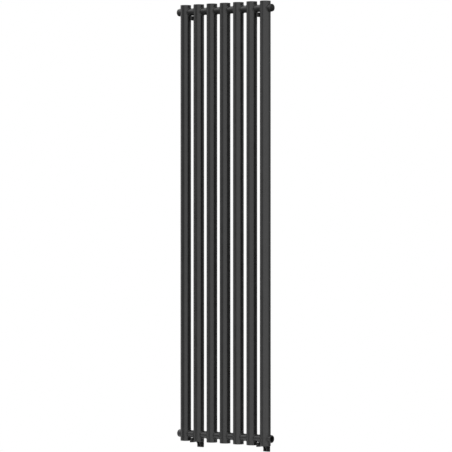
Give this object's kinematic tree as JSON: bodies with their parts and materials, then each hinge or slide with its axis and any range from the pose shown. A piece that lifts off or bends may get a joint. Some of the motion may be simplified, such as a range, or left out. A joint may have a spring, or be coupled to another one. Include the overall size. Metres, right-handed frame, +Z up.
{
  "type": "radiator with valve",
  "caption": "Tall wall-hung radiator of upright round tubes on two round manifolds, with an air vent valve, a blind plug, open bottom ports and hook-on wall brackets.",
  "frame": {"origin": "on the wall plane, midway between the four wall brackets, so halfway between the two manifolds and between the two ends", "axes": "+X runs along the manifolds towards the air vent, -Y faces the room and +Y the wall, +Z is up along the tubes"},
  "size_m": [0.4273, 0.0715, 1.627],
  "materials": {
    "powder_coat": "matte anthracite-black powder coat with a fine texture",
    "black_fitting": "satin black coated brass fitting",
    "bracket_coat": "matte black coated steel",
    "black_plastic": "satin black plastic",
    "black_zinc": "black zinc-plated steel",
    "rubber": "black seal rubber",
    "bare_steel": "bare mild steel, inside the pipe"
  },
  "bodies": {
    "wall_brackets": {"bracket_top_left": "bracket_coat", "hanger_bolt_top_left": "black_zinc", "hanger_nut_top_left": "black_zinc", "bracket_top_right": "bracket_coat", "hanger_bolt_top_right": "black_zinc", "hanger_nut_top_right": "black_zinc", "bracket_bottom_left": "bracket_coat", "hanger_bolt_bottom_left": "black_zinc", "hanger_nut_bottom_left": "black_zinc", "bracket_bottom_right": "bracket_coat", "hanger_bolt_bottom_right": "black_zinc", "hanger_nut_bottom_right": "black_zinc"},
    "radiator": {"tube_1": "powder_coat", "tube_cap_top_1": "powder_coat", "tube_cap_bottom_1": "powder_coat", "tube_2": "powder_coat", "tube_cap_top_2": "powder_coat", "tube_cap_bottom_2": "powder_coat", "tube_3": "powder_coat", "tube_cap_top_3": "powder_coat", "tube_cap_bottom_3": "powder_coat", "tube_4": "powder_coat", "tube_cap_top_4": "powder_coat", "tube_cap_bottom_4": "powder_coat", "tube_5": "powder_coat", "tube_cap_top_5": "powder_coat", "tube_cap_bottom_5": "powder_coat", "tube_6": "powder_coat", "tube_cap_top_6": "powder_coat", "tube_cap_bottom_6": "powder_coat", "tube_7": "powder_coat", "tube_cap_top_7": "powder_coat", "tube_cap_bottom_7": "powder_coat", "manifold_top": "powder_coat", "manifold_bottom": "powder_coat", "port_bush_top_left": "powder_coat", "port_bush_top_right": "powder_coat", "port_bush_bottom_left": "powder_coat", "port_bush_bottom_right": "powder_coat", "hanger_lug_top_left": "powder_coat", "hanger_lug_top_right": "powder_coat", "hanger_lug_bottom_left": "powder_coat", "hanger_lug_bottom_right": "powder_coat", "flow_diverter": "bare_steel", "blind_plug": "black_fitting", "blind_plug_seal": "rubber", "air_vent_body": "black_fitting", "air_vent_seal": "rubber"},
    "bleed_screw": {"bleed_screw": "black_zinc"},
    "vent_outlet": {"air_vent_outlet": "black_plastic"}
  },
  "joints": [
    {"name": "radiator_lift_off", "type": "slide", "parent": "wall_brackets", "child": "radiator", "axis": [0, 0, 1], "range_m": [0, 0.03]},
    {"name": "bleed_screw_turn", "type": "hinge", "parent": "radiator", "child": "bleed_screw", "pos_m": [0.21, -0.052, 0.774], "axis": [1, 0, 0], "range_deg": [0, 360]},
    {"name": "vent_outlet_swivel", "type": "hinge", "parent": "radiator", "child": "vent_outlet", "pos_m": [0.21, -0.052, 0.774], "axis": [1, 0, 0], "continuous": true}
  ]
}
